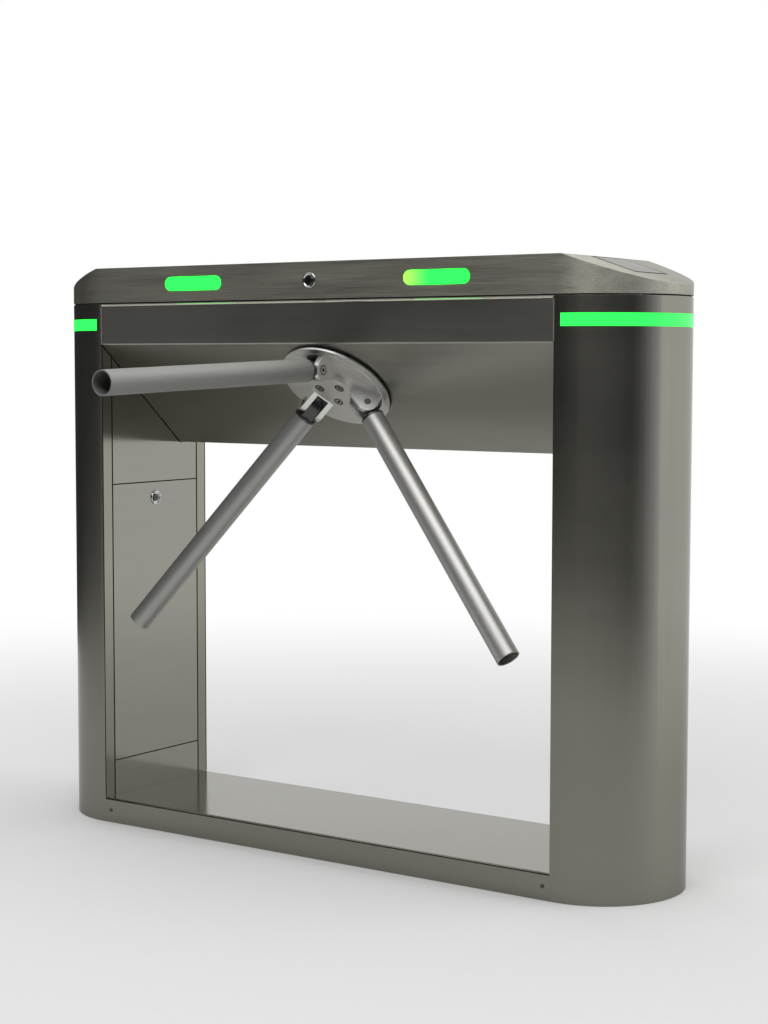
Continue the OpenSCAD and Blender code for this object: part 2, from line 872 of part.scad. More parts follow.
module arm_root(i) {
    color(satin) at_arm(i) difference() {
        union() {
            rotate([0, 90, 0]) cylinder(r = tongue_r, h = tongue_t, center = true);
            translate([-tongue_t / 2, -tongue_r, 0]) cube([tongue_t, 2 * tongue_r, arm_start]);
            translate([0, 0, collar_z]) cylinder(r = arm_r, h = arm_start - collar_z);
            translate([0, 0, collar_z])
                cylinder(r = arm_r - arm_wall - fit, h = arm_start - collar_z + plug_l);
        }
        rotate([0, 90, 0]) cylinder(r = arm_pin_r + fit, h = 2 * slot_w, center = true);
    }
}

module arm_tube(i) {
    color(satin) at_arm(i) translate([0, 0, arm_start]) difference() {
        cylinder(r = arm_r, h = arm_len - arm_start);
        translate([0, 0, -eps]) cylinder(r = arm_r - arm_wall, h = arm_len);
        translate([0, 0, arm_len - arm_start - tip_seat_l])
            cylinder(r = arm_r - arm_wall + tip_seat_d, h = tip_seat_l + eps);
    }
}

module arm_root_1() { arm_root(0); }
module arm_root_2() { arm_root(1); }
module arm_root_3() { arm_root(2); }
module arm_tube_1() { arm_tube(0); }
module arm_tube_2() { arm_tube(1); }
module arm_tube_3() { arm_tube(2); }

// Mechanism

module mech_plate(depth, size, v) {
    behind(depth, plate_t) translate([0, v]) square(size, center = true);
}

// Bearing boss on the far side of a plate, with its pocket cut through to a lip
module bearing_boss(depth) {
    behind(depth, bearing_lip + bearing_w) circle(r = bearing_boss_r);
}

module bearing_pocket(depth) {
    behind(depth + bearing_lip, bearing_w + eps) circle(r = bearing_r + fit);
    behind(depth - eps, bearing_w) circle(r = bearing_r - bearing_lip);
}

module front_plate() {
    color(zinc) at_hub() difference() {
        union() {
            mech_plate(front_plate_z, front_plate, front_plate_v);
            bearing_boss(front_plate_z);
        }
        bearing_pocket(front_plate_z);
    }
}

module rear_plate() {
    color(zinc) at_hub() difference() {
        union() {
            mech_plate(rear_plate_z, rear_plate, rear_plate_v);
            bearing_boss(rear_plate_z);
        }
        bearing_pocket(rear_plate_z);
        behind(rear_plate_z - eps, plate_t + 2 * eps) translate([motor_x, motor_v])
            circle(r = 2 * motor_shaft_r);
    }
}

module mech_pillars() {
    color(satin) at_hub() for (sx = [-1, 1], sv = [-1, 1]) {
        behind(sheet, front_plate_z - sheet)
            translate([sx * standoff_x, sv * standoff_v]) circle(r = standoff_r);
        behind(front_plate_z + plate_t, rear_plate_z - front_plate_z - plate_t)
            translate([sx * pillar_x, sv * pillar_v]) circle(r = pillar_r);
    }
}

module shaft_bearings() {
    color(satin) at_hub() for (depth = [front_plate_z, rear_plate_z])
        behind(depth + bearing_lip, bearing_w) difference() {
            circle(r = bearing_r);
            circle(r = shaft_r + fit);
        }
}

function involute_deg(a) = tan(a) * 180 / PI - a;
// Half angle of a tooth at a radius
function tooth_half(teeth, r, base) = 90 / teeth - backlash / 2 * 180 / PI / (gear_m * teeth / 2)
    + involute_deg(pressure_a) - (r > base ? involute_deg(acos(base / r)) : 0);
function polar(r, a) = [r * cos(a), r * sin(a)];
module gear_2d(teeth) {
    pitch = gear_m * teeth / 2;
    base = pitch * cos(pressure_a);
    root = pitch - root_share * gear_m;
    tip = pitch + gear_m;
    radii = [root, max(root, base), pitch, (pitch + tip) / 2, tip];
    polygon([for (k = [0:teeth - 1]) let (c = k * 360 / teeth)
        each concat([for (r = radii) polar(r, c - tooth_half(teeth, r, base))],
            [for (j = [len(radii) - 1:-1:0]) polar(radii[j], c + tooth_half(teeth, radii[j], base))])]);
}

// Wheel on the main shaft with a clamping hub behind it
module shaft_wheel(depth, t) {
    behind(depth, t) difference() {
        children();
        circle(r = shaft_r + fit);
    }
    behind(depth + t, wheel_hub_w) difference() {
        circle(r = wheel_hub_r);
        circle(r = shaft_r + fit);
    }
}

module drive_gear() {
    color(satin) at_hub() shaft_wheel(gear_z, gear_w) rotate(motor_a) difference() {
        gear_2d(gear_teeth);
        for (k = [0:gear_holes - 1])
            rotate(k * 360 / gear_holes) translate([gear_hole_circle_r, 0]) circle(r = gear_hole_r);
    }
}

module index_wheel() {
    color(zinc) at_hub() shaft_wheel(index_z, index_w) difference() {
        circle(r = index_r);
        for (k = [0:index_count - 1]) rotate(k * 360 / index_count)
            translate([index_r - notch_d, -notch_w / 2]) square([2 * notch_d, notch_w]);
    }
}

module encoder_wheel() {
    color(black) at_hub() shaft_wheel(encoder_z, encoder_w) difference() {
        circle(r = encoder_r);
        for (k = [0:encoder_slots - 1]) rotate(k * 360 / encoder_slots)
            translate([encoder_r - encoder_slot_l, -encoder_slot_w / 2])
                square([2 * encoder_slot_l, encoder_slot_w]);
    }
}

module motor_pinion() {
    back = rear_plate_z + plate_t + motor_bore_l - sheet;
    color(satin) at_hub() translate([motor_x, motor_v, 0]) {
        behind(gear_z, gear_w) rotate(motor_a + 180 + 180 / pinion_teeth) gear_2d(pinion_teeth);
        behind(gear_z, back - gear_z) circle(r = motor_shaft_r);
    }
}

module drive_motor() {
    z0 = rear_plate_z + plate_t;
    color(black) at_hub() translate([motor_x, motor_v, 0]) difference() {
        union() {
            behind(z0, gearbox_l) circle(r = gearbox_r);
            behind(z0 + gearbox_l, motor_l) circle(r = motor_r);
        }
        behind(z0 - eps, motor_bore_l + eps) circle(r = motor_shaft_r + fit);
    }
}

// Frame of a pawl: y runs outwards from the shaft
module at_pawl(a) {
    at_hub() rotate([0, 0, a]) children();
}

module coil_block(a) {
    z0 = rear_plate_z + plate_t;
    at_pawl(a) difference() {
        translate([-coil[0] / 2, coil_in, -z0 - coil[2]]) cube(coil);
        translate([0, coil_in - eps, -pawl_z]) rotate([-90, 0, 0])
            cylinder(r = plunger_r + fit, h = coil_bore_l + eps);
    }
}

module pawl(a) {
    color(satin) at_pawl(a) {
        translate([-pawl_tip[0] / 2, pawl_r0, -pawl_z - pawl_tip[2] / 2]) cube(pawl_tip);
        translate([0, pawl_r0 + pawl_tip[1] / 2, -pawl_z]) rotate([-90, 0, 0])
            cylinder(r = plunger_r, h = plunger_l);
    }
}

module lock_solenoids() {
    color(black) coil_block(side_pawl_a);
    color(black) coil_block(lower_pawl_a);
}
module side_pawl() { pawl(side_pawl_a); }
module lower_pawl() { pawl(lower_pawl_a); }

// Fork that reads the slotted wheel, on a post from the rear plate
module position_sensor() {
    z0 = rear_plate_z + plate_t;
    z1 = encoder_z + encoder_w + sensor_gap + sheet;
    r0 = encoder_r - encoder_slot_l;
    post_r = index_r + 2 * sensor_gap;
    color(black) at_hub() difference() {
        union() {
            behind(z0, z1 - z0) translate([-sensor_w / 2, post_r]) square([sensor_w, sensor_t]);
            behind(encoder_z - sensor_gap - sheet, z1 - encoder_z + sensor_gap + sheet)
                translate([-sensor_w / 2, r0]) square([sensor_w, post_r - r0 + sensor_t]);
        }
        behind(encoder_z - sensor_gap, encoder_w + 2 * sensor_gap)
            translate([-sensor_w, 0]) square([2 * sensor_w, encoder_r + sensor_gap]);
    }
}

// Circuit board on four posts on the beam's back wall
module control_board() {
    face = back_y - sheet;
    board_y = face - board_post - board[2];
    color(pcb) translate([board_x, 0, board_z]) {
        translate([-board[0] / 2, board_y, -board[1] / 2]) cube([board[0], board[2], board[1]]);
        for (sx = [-1, 1], sz = [-1, 1])
            translate([sx * (board[0] / 2 - 2 * board_post_r), face, sz * (board[1] / 2 - 2 * board_post_r)])
                rotate([90, 0, 0]) cylinder(r = board_post_r, h = board_post);
        for (i = [-1:1]) translate([i * board[0] / 3 - chip[0] / 2, board_y - chip[2], -chip[1] / 2])
            cube([chip[0], chip[2], chip[1]]);
    }
}

module power_supply() {
    color(satin) translate([supply_x - supply[0] / 2, back_y - sheet - supply[1], supply_z])
        translate([0, 0, -supply[2] / 2]) cube(supply);
}

left_column_shell();
right_column_shell();
left_upper_panel();
right_upper_panel();
left_lower_panel();
right_lower_panel();
left_floor_plate();
right_floor_plate();
cable_gland();
terminal_block();
base_cover();
base_duct();
base_rivets();
beam_front();
beam_back();
top_frame();
left_strip_lens();
right_strip_lens();
strip_boards();
lid_hinge_fixed();
front_plate();
rear_plate();
mech_pillars();
shaft_bearings();
drive_motor();
lock_solenoids();
position_sensor();
control_board();
power_supply();
hub_disc();
hub_seal();
hub_screws();
main_shaft();
drive_gear();
index_wheel();
encoder_wheel();
arm_pins();
arm_root_1();
arm_root_2();
arm_root_3();
arm_tube_1();
arm_tube_2();
arm_tube_3();
motor_pinion();
side_pawl();
lower_pawl();
top_lid();
lid_lenses();
lid_boards();
reader_windows();
reader_modules();
lid_hinge_moving();
lid_lock_barrel();
lid_lock_plug();
left_door();
right_door();
door_lock_barrels_left();
door_lock_barrels_right();
left_lock_plug();
right_lock_plug();
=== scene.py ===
import json
import math

import bmesh
import bpy
from mathutils import Matrix, Vector


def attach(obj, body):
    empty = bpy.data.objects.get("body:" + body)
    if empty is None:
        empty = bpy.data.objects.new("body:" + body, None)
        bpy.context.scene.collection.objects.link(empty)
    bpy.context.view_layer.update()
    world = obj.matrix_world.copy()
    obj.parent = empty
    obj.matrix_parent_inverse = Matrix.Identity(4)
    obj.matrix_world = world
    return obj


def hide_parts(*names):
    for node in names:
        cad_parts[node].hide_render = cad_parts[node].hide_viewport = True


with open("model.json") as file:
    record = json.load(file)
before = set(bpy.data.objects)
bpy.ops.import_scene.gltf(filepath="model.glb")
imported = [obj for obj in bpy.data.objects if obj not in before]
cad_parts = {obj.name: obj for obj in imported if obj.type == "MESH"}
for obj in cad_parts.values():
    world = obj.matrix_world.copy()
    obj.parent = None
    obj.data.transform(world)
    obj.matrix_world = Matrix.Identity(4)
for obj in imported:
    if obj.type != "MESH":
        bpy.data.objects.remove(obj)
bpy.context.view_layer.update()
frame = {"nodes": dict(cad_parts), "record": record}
nodes = frame["nodes"]
record = frame["record"]

# Sizes in metres that the pieces made here share with the CAD model
MM = 0.001
TILT = math.radians(49.5)
CONE = math.radians(47.6)
HUB = Vector((0.0, -0.063199, 0.782406))
HUB_AXIS = Vector((0.0, -math.cos(TILT), -math.sin(TILT)))
UP_SLOPE = Vector((0.0, -math.sin(TILT), math.cos(TILT)))
FRONT_Y = -0.140
INNER_X = 0.455
COLUMN_X = 0.46
COLUMN_R = 0.14
BODY_TOP = 0.918
BAND_FOOT = 0.848
BEAM_FOOT = 0.6707
BEAM_FOOT_Y = 0.0674
LID_LOCK_Z = 0.9499
DOOR_LOCK_Z = 0.5715
SLOPE_X = 0.4666
SLOPE_Z = 0.980
SLOPE_RUN = 0.1334
SLOPE_FALL = 0.0449
SLOPE = math.atan2(SLOPE_FALL, SLOPE_RUN)
WINDOW_FROM = 0.005
WINDOW_LENGTH = 0.076
WINDOW_WIDTH = 0.100
SIDES = (("left", -1), ("right", 1))


# Materials

class Shader:
    """One material's nodes, with short names for adding and joining them."""

    def __init__(self, name):
        self.mat = bpy.data.materials.new(name)
        self.mat.use_nodes = True
        self.tree = self.mat.node_tree
        self.tree.nodes.clear()
        self.out = self.add("ShaderNodeOutputMaterial")
        self.bsdf = self.add("ShaderNodeBsdfPrincipled")
        self.join(self.bsdf.outputs["BSDF"], self.out.inputs["Surface"])

    def add(self, kind, **props):
        node = self.tree.nodes.new(kind)
        for key, value in props.items():
            setattr(node, key, value)
        return node

    def join(self, a, b):
        self.tree.links.new(a, b)

    def coords(self, turn=(0, 0, 0), size=(1, 1, 1)):
        """Object coordinates in a turned frame, in units of the given grain sizes."""
        tex = self.add("ShaderNodeTexCoord")
        mapping = self.add("ShaderNodeMapping", vector_type="TEXTURE")
        mapping.inputs["Rotation"].default_value = turn
        mapping.inputs["Scale"].default_value = size
        self.join(tex.outputs["Object"], mapping.inputs["Vector"])
        return mapping.outputs["Vector"]

    def axes(self):
        """Object coordinates as separate X, Y and Z."""
        tex = self.add("ShaderNodeTexCoord")
        split = self.add("ShaderNodeSeparateXYZ")
        self.join(tex.outputs["Object"], split.inputs["Vector"])
        return split.outputs["X"], split.outputs["Y"], split.outputs["Z"]

    def around(self, centre, arc_size, height_size):
        """Arc length round a column's upright axis, and height, in units of the grain sizes."""
        x, y, z = self.axes()
        angle = self.math("ARCTAN2", y, self.math("SUBTRACT", x, centre))
        join = self.add("ShaderNodeCombineXYZ")
        self.join(self.math("MULTIPLY", angle, COLUMN_R / arc_size), join.inputs["X"])
        self.join(self.math("MULTIPLY", z, 1 / height_size), join.inputs["Z"])
        return join.outputs["Vector"]

    def noise(self, vector, detail=2.0, rough=0.5, scale=1.0):
        node = self.add("ShaderNodeTexNoise")
        node.inputs["Scale"].default_value = scale
        node.inputs["Detail"].default_value = detail
        node.inputs["Roughness"].default_value = rough
        self.join(vector, node.inputs["Vector"])
        return node.outputs["Fac"]

    def fit(self, value, low, high, to_low, to_high):
        node = self.add("ShaderNodeMapRange")
        for key, number in (("From Min", low), ("From Max", high), ("To Min", to_low), ("To Max", to_high)):
            node.inputs[key].default_value = number
        self.join(value, node.inputs["Value"])
        return node.outputs["Result"]

    def vary(self, noise, low, high):
        """A noise, which mostly lies between 0.3 and 0.7, stretched to another range."""
        return self.fit(noise, 0.3, 0.7, low, high)

    def math(self, operation, a, b):
        node = self.add("ShaderNodeMath", operation=operation)
        for socket, value in zip(node.inputs, (a, b)):
            if isinstance(value, (int, float)):
                socket.default_value = value
            else:
                self.join(value, socket)
        return node.outputs[0]

    def mix(self, factor, a, b):
        node = self.add("ShaderNodeMix", data_type="RGBA")
        for socket, value in ((node.inputs[0], factor), (node.inputs[6], a), (node.inputs[7], b)):
            if isinstance(value, (int, float)):
                socket.default_value = value
            elif isinstance(value, tuple):
                socket.default_value = (*value, 1.0)
            else:
                self.join(value, socket)
        return node.outputs[2]

    def edges(self, radius):
        """A softened normal, and a mask that is 1 where the surface turns within the radius."""
        bevel = self.add("ShaderNodeBevel", samples=4)
        bevel.inputs["Radius"].default_value = radius
        geometry = self.add("ShaderNodeNewGeometry")
        dot = self.add("ShaderNodeVectorMath", operation="DOT_PRODUCT")
        self.join(bevel.outputs["Normal"], dot.inputs[0])
        self.join(geometry.outputs["Normal"], dot.inputs[1])
        return bevel.outputs["Normal"], self.fit(dot.outputs["Value"], 0.995, 0.85, 0.0, 1.0)

    def bump(self, height, strength, distance, normal=None):
        node = self.add("ShaderNodeBump")
        node.inputs["Strength"].default_value = strength
        node.inputs["Distance"].default_value = distance
        self.join(height, node.inputs["Height"])
        if normal is not None:
            self.join(normal, node.inputs["Normal"])
        self.join(node.outputs["Normal"], self.bsdf.inputs["Normal"])


def scaled(color, share):
    return tuple(min(1.0, c * share) for c in color)


def brushed(name, color, rough=0.3, spread=0.06, turn=(0, 0, 0), grain=0.0007, streak=0.09,
            contrast=0.10, aniso=0.0, centre=None, edge=0.0012, bump=0.05, smudge=0.02, rim=0.75,
            smear=0.06, foot=0.82, flat=0.15):
    """Brushed metal: fine grooves along the turned X axis, or round an upright axis where a centre is
    given, with wider streaks, faint smudges and paler edges, partly worn and partly a painted highlight.
    Round an axis it also has upright smears, a painted shade that darkens it towards its foot, and a
    glossier flat inner face."""
    s = Shader(name)

    def grooves(along, across):
        if centre is None:
            return s.coords(turn, (along, across, across))
        return s.around(centre, along, across)

    fine = s.noise(grooves(streak, grain), 3.0, 0.6)
    wide = s.noise(grooves(streak * 4, grain * 9), 2.0, 0.5)
    cloud = s.noise(s.coords(size=(0.22, 0.22, 0.22)), 2.0, 0.5)
    streaks = s.math("ADD", s.math("MULTIPLY", fine, 0.6), s.math("MULTIPLY", wide, 0.4))
    dark, pale = scaled(color, 1 - contrast), scaled(color, 1 + contrast)
    tone = s.mix(s.vary(streaks, 0.0, 1.0), dark, pale)
    tone = s.mix(s.vary(cloud, 0.0, smudge * 4), tone, scaled(color, 0.86))
    if centre is not None:
        falls = s.noise(s.around(centre, 0.012, 0.9), 3.0, 0.6)
        tone = s.mix(s.vary(falls, 0.0, smear * 4), tone, scaled(color, 0.72))
        x, y, z = s.axes()
        # Painted shade: darker towards the foot, with a ragged top, to dim the floor's reflection low on
        # the column
        foot_shade = s.math("ADD", s.fit(z, 0.20, 0.46, 1.0, 0.0), s.vary(cloud, -0.12, 0.12))
        tone = s.mix(s.math("MINIMUM", s.math("MAXIMUM", foot_shade, 0.0), 1.0), tone, scaled(color, foot))
    normal, turned_edges = s.edges(edge)
    # Edges painted paler, partly worn metal and partly a painted highlight along each edge
    tone = s.mix(s.math("MULTIPLY", turned_edges, 0.55), tone, scaled(color, 1.45))
    s.join(tone, s.bsdf.inputs["Base Color"])
    lobe = s.math("ADD", s.vary(streaks, rough - spread / 2, rough + spread / 2),
                  s.vary(cloud, -smudge, smudge))
    if centre is not None:
        rounded = s.fit(s.math("ABSOLUTE", x, 0.0), INNER_X + 0.2 * MM, INNER_X + 1.2 * MM, 0.0, 1.0)
        inner = s.math("MULTIPLY", s.math("SUBTRACT", 1.0, rounded), flat)
        lobe = s.math("ADD", s.math("MULTIPLY", lobe, rounded), inner)
    s.join(lobe, s.bsdf.inputs["Roughness"])
    s.bsdf.inputs["Metallic"].default_value = 1.0
    s.bsdf.inputs["Specular Tint"].default_value = (rim, rim, rim, 1.0)
    if aniso:
        s.bsdf.inputs["Anisotropic"].default_value = aniso
        if centre is not None:
            s.join(s.math("MULTIPLY", rounded, aniso), s.bsdf.inputs["Anisotropic"])
        s.bsdf.inputs["Anisotropic Rotation"].default_value = 0.25
        tangent = s.add("ShaderNodeTangent", direction_type="RADIAL", axis="Z")
        s.join(tangent.outputs["Tangent"], s.bsdf.inputs["Tangent"])
    s.bump(streaks, bump, 0.0002, normal)
    return s.mat


def moulded(name, color, rough=0.45, metal=0.0, grain=0.0012, bump=0.25, mottle=0.12, edge=0.0006,
            shine=0.5):
    """Moulded plastic, rubber or cast metal with a fine pebbled grain and paler edges."""
    s = Shader(name)
    pebbles = s.noise(s.coords(size=(grain, grain, grain)), 3.0, 0.6)
    cloud = s.noise(s.coords(size=(0.05, 0.05, 0.05)), 3.0, 0.6)
    normal, turned_edges = s.edges(edge)
    tone = s.mix(s.vary(cloud, 0.0, 1.0), scaled(color, 1 - mottle), scaled(color, 1 + mottle))
    rubbed = tuple(min(1.0, c * 1.3 + 0.02) for c in color)
    tone = s.mix(s.math("MULTIPLY", turned_edges, 0.4), tone, rubbed)
    s.join(tone, s.bsdf.inputs["Base Color"])
    s.join(s.vary(pebbles, rough - 0.07, rough + 0.07), s.bsdf.inputs["Roughness"])
    s.bsdf.inputs["Metallic"].default_value = metal
    s.bsdf.inputs["Specular IOR Level"].default_value = shine
    s.bump(pebbles, bump, 0.0002, normal)
    return s.mat


def lit_lens(name, color, power, warm_from=None, warm_to=None, warm=(0.62, 1.0, 0.12)):
    """Diffusing lens with the light behind it, brighter over each lamp, warmer towards one end if asked.
    Its green is brighter than the picture can show, so what lies beside it catches some of it."""
    s = Shader(name)
    warm = (warm[0] / power, warm[1], warm[2] / power)
    lit = (color[0] / power, color[1], color[2] / power)
    lamps = s.noise(s.coords(size=(0.011, 0.011, 0.011)), 1.0, 0.4)
    film = s.noise(s.coords(size=(0.0009, 0.0009, 0.0009)), 2.0, 0.5)
    glow = s.mix(s.vary(lamps, 0.0, 1.0), scaled(lit, 0.93), lit)
    if warm_from is not None:
        x, y, z = s.axes()
        towards = s.fit(x, warm_from, warm_to, 1.0, 0.0)
        towards.node.interpolation_type = "SMOOTHSTEP"
        this_side = s.math("GREATER_THAN", x, 0.0)
        glow = s.mix(s.math("MULTIPLY", towards, this_side), glow, warm)
    s.join(glow, s.bsdf.inputs["Emission Color"])
    s.bsdf.inputs["Emission Strength"].default_value = power
    s.join(s.mix(film, scaled(color, 0.10), scaled(color, 0.16)), s.bsdf.inputs["Base Color"])
    s.join(s.vary(film, 0.28, 0.42), s.bsdf.inputs["Roughness"])
    s.bump(film, 0.1, 0.0001)
    return s.mat


def board_material(name):
    """Solder mask with copper tracks showing through as paler lines."""
    s = Shader(name)
    tracks = s.add("ShaderNodeTexBrick", offset=0.5, squash=1.0)
    tracks.inputs["Scale"].default_value = 1.0
    tracks.inputs["Mortar Size"].default_value = 0.08
    tracks.inputs["Mortar Smooth"].default_value = 0.1
    tracks.inputs["Color1"].default_value = (0.012, 0.080, 0.035, 1)
    tracks.inputs["Color2"].default_value = (0.016, 0.105, 0.045, 1)
    tracks.inputs["Mortar"].default_value = (0.045, 0.20, 0.085, 1)
    s.join(s.coords((math.radians(90), 0, 0), (0.004, 0.004, 0.004)), tracks.inputs["Vector"])
    s.join(tracks.outputs["Color"], s.bsdf.inputs["Base Color"])
    film = s.noise(s.coords(size=(0.002, 0.002, 0.002)), 2.0, 0.5)
    s.join(s.vary(film, 0.32, 0.46), s.bsdf.inputs["Roughness"])
    s.bump(tracks.outputs["Fac"], 0.3, 0.0001)
    return s.mat


STEEL = (0.337, 0.329, 0.279)
SATIN = (0.56, 0.555, 0.53)
ZINC = (0.52, 0.53, 0.52)
GREEN = (0.033, 1.0, 0.133)


def axis_turn(along):
    """Angles of a frame whose X axis lies along a direction."""
    return tuple(Vector((1, 0, 0)).rotation_difference(Vector(along).normalized()).to_euler())


lid_steel = brushed("lid_steel", scaled(STEEL, 1.2), rough=0.46, aniso=0.6, contrast=0.30, streak=0.07,
                    grain=0.0016)
shell_steel = {}
for word, side in SIDES:
    shell_steel[word] = brushed("shell_steel_" + word, scaled(STEEL, 0.9), rough=0.22, spread=0.02,
                                aniso=0.8, contrast=0.03, bump=0.006, centre=side * COLUMN_X, edge=0.0003)
cabinet_steel = brushed("cabinet_steel", STEEL, rough=0.30, contrast=0.07)
door_steel = brushed("door_steel", (0.296, 0.290, 0.254), rough=0.13, spread=0.02,
                     turn=(0, 0, math.radians(90)), contrast=0.035, bump=0.003, edge=0.0003)
beam_steel = brushed("beam_steel", (0.350, 0.344, 0.306), rough=0.34, contrast=0.06, aniso=0.5)
# Painted highlight: the band's lip is the same sheet steel, made lighter to stand for the light it catches
lip_highlight_steel = brushed("lip_highlight_steel", scaled(STEEL, 1.6), rough=0.12, contrast=0.04, edge=0.0003, bump=0.01)
# Painted shade: the base's steel is a darker copy of the cabinet's, to hold down its reflections of the
# floor and the white room
base_steel = brushed("base_steel", scaled(STEEL, 0.71), rough=0.15, spread=0.02, contrast=0.05, bump=0.006,
                     rim=0.9)
disc_metal = brushed("disc_metal", scaled(SATIN, 1.36), rough=0.38, turn=(TILT, 0, 0), grain=0.0012,
                     contrast=0.05, streak=0.02, edge=0.0010)
satin_metal = brushed("satin_metal", SATIN, rough=0.36, contrast=0.06, streak=0.02)
edge_metal = brushed("edge_metal", scaled(SATIN, 0.60), rough=0.62, contrast=0.05, streak=0.02, edge=0.0002)
# Painted shade: the arm roots are near black for the shade inside the hub's slots
root_slot_shade = brushed("root_slot_shade", (0.10, 0.10, 0.098), rough=0.40, contrast=0.08, streak=0.01)
zinc_steel = brushed("zinc_steel", ZINC, rough=0.38, contrast=0.10, streak=0.03, grain=0.004,
                     smudge=0.06)
lock_metal = brushed("lock_metal", (0.62, 0.62, 0.60), rough=0.16, contrast=0.04, streak=0.01, edge=0.0006)
dark_metal = brushed("dark_metal", (0.10, 0.10, 0.10), rough=0.30, contrast=0.10, streak=0.01, edge=0.0004)
device_metal = moulded("device_metal", (0.045, 0.047, 0.05), rough=0.42, metal=0.4, grain=0.0018)
# Near-black top frame: dark steel as in the CAD, and painted shade for the gap under the lid
frame_paint_and_gap_shade = moulded("frame_paint_and_gap_shade", (0.022, 0.022, 0.021), rough=0.75, grain=0.0010, shine=0.15)
black_rubber = moulded("black_rubber", (0.012, 0.012, 0.013), rough=0.62, grain=0.0009)
black_plastic = moulded("black_plastic", (0.02, 0.02, 0.022), rough=0.42, grain=0.0008)
# Black rubber for the window gaskets and the joint bead, and painted shade for the seam strips and for the
# rings and sockets round screws and pins
gasket_rubber_and_shade = moulded("gasket_rubber_and_shade", (0.006, 0.006, 0.006), rough=0.9, grain=0.0009, mottle=0.3,
                        shine=0.1)
reader_plastic = moulded("reader_plastic", (0.22, 0.215, 0.20), rough=0.42, grain=0.0010, bump=0.35)
terminal_plastic = moulded("terminal_plastic", (0.07, 0.19, 0.10), rough=0.40, grain=0.0010)
circuit_board = board_material("circuit_board")
strip_light = lit_lens("strip_light", GREEN, 2.0)
lid_light = lit_lens("lid_light", GREEN, 4.0, 0.172, 0.236)

# Angle of each arm round the hub, its share of the satin tone, and its roughness. The three tubes are one
# metal; their shares differ as painted light, each tube lighter or darker for the light that falls on it
ARM_LIT_TONES = ((0, 0.59, 0.70), (120, 0.94, 0.50), (240, 0.74, 0.52))
arm_lit_copies = []
for number, (angle, share, rough) in enumerate(ARM_LIT_TONES):
    a = math.radians(angle)
    radial = Vector((math.sin(a), 0, 0)) + UP_SLOPE * math.cos(a)
    along_arm = radial * math.sin(CONE) + HUB_AXIS * math.cos(CONE)
    arm_lit_copies.append(brushed("arm_metal_%d" % (number + 1), scaled(SATIN, share), rough=rough,
                              turn=axis_turn(along_arm), contrast=0.05, streak=0.05, grain=0.0014,
                              bump=0.010))

BY_SLOT = {
    "cabinet_steel": cabinet_steel, "panel_steel": beam_steel, "base_steel": base_steel,
    "satin_metal": satin_metal, "zinc_steel": zinc_steel, "lock_metal": lock_metal,
    "black_rubber": black_rubber, "black_plastic": black_plastic, "reader_plastic": reader_plastic,
    "green_light": strip_light, "circuit_board": circuit_board, "device_metal": device_metal,
}
BY_NODE = {
    "top_lid": lid_steel, "lid_lenses": lid_light, "hub_disc": disc_metal, "top_frame": frame_paint_and_gap_shade,
    "terminal_block": terminal_plastic, "power_supply": zinc_steel, "base_rivets": dark_metal,
    "lid_lock_plug": dark_metal,
}
for word, side in SIDES:
    BY_NODE[word + "_column_shell"] = shell_steel[word]
    BY_NODE[word + "_lock_plug"] = dark_metal
    for panel in ("_door", "_upper_panel", "_lower_panel"):
        BY_NODE[word + panel] = door_steel
for number, metal in enumerate(arm_lit_copies):
    BY_NODE["arm_tube_%d" % (number + 1)] = metal
    BY_NODE["arm_root_%d" % (number + 1)] = root_slot_shade
slot_of = {part["node"]: part["material_slot"] for part in record["subparts"]}
for name, obj in nodes.items():
    material = BY_NODE.get(name) or BY_SLOT[slot_of[name]]
    if not obj.material_slots:
        obj.data.materials.append(material)
    for material_slot in obj.material_slots:
        material_slot.material = material


# Pieces made here

def mesh_object(name, material, build):
    """An object from a function that fills a bmesh, with smooth faces and sharp edges kept."""
    mesh = bpy.data.meshes.new(name)
    bm = bmesh.new()
    build(bm)
    bmesh.ops.remove_doubles(bm, verts=bm.verts, dist=1e-7)
    bmesh.ops.recalc_face_normals(bm, faces=bm.faces)
    for face in bm.faces:
        face.smooth = True
    for edge in bm.edges:
        if len(edge.link_faces) == 2 and edge.calc_face_angle(0.0) > math.radians(35):
            edge.smooth = False
    bm.to_mesh(mesh)
    bm.free()
    obj = bpy.data.objects.new(name, mesh)
    bpy.context.scene.collection.objects.link(obj)
    obj.data.materials.append(material)
    return obj


def lathe(bm, profile, place, turns=64):
    """A closed profile of (radius, height) turned round the Z axis of a frame."""
    rings = []
    for k in range(turns):
        angle = 2 * math.pi * k / turns
        rings.append([bm.verts.new(place @ Vector((r * math.cos(angle), r * math.sin(angle), z)))
                      for r, z in profile])
    count = len(profile)
    for k in range(turns):
        here, there = rings[k], rings[(k + 1) % turns]
        for j in range(count):
            bm.faces.new((here[j], there[j], there[(j + 1) % count], here[(j + 1) % count]))


def prism(bm, rings):
    """Closed skin through rings of the same number of points."""
    rings = [[bm.verts.new(p) for p in ring] for ring in rings]
    count = len(rings[0])
    for a, b in zip(rings, rings[1:]):
        for j in range(count):
            bm.faces.new((a[j], b[j], b[(j + 1) % count], a[(j + 1) % count]))
    bm.faces.new(rings[0])
    bm.faces.new(rings[-1])


def placed(origin, x, y, z):
    m = Matrix.Identity(4)
    for column, axis in enumerate((x, y, z)):
        for row in range(3):
            m[row][column] = axis[row]
    for row in range(3):
        m[row][3] = origin[row]
    return m


def outward_frame(origin, outward, up=(0.0, 0.0, 1.0)):
    z = Vector(outward).normalized()
    y = Vector(up) - z * Vector(up).dot(z)
    y.normalize()
    return placed(Vector(origin), y.cross(z), y, z)


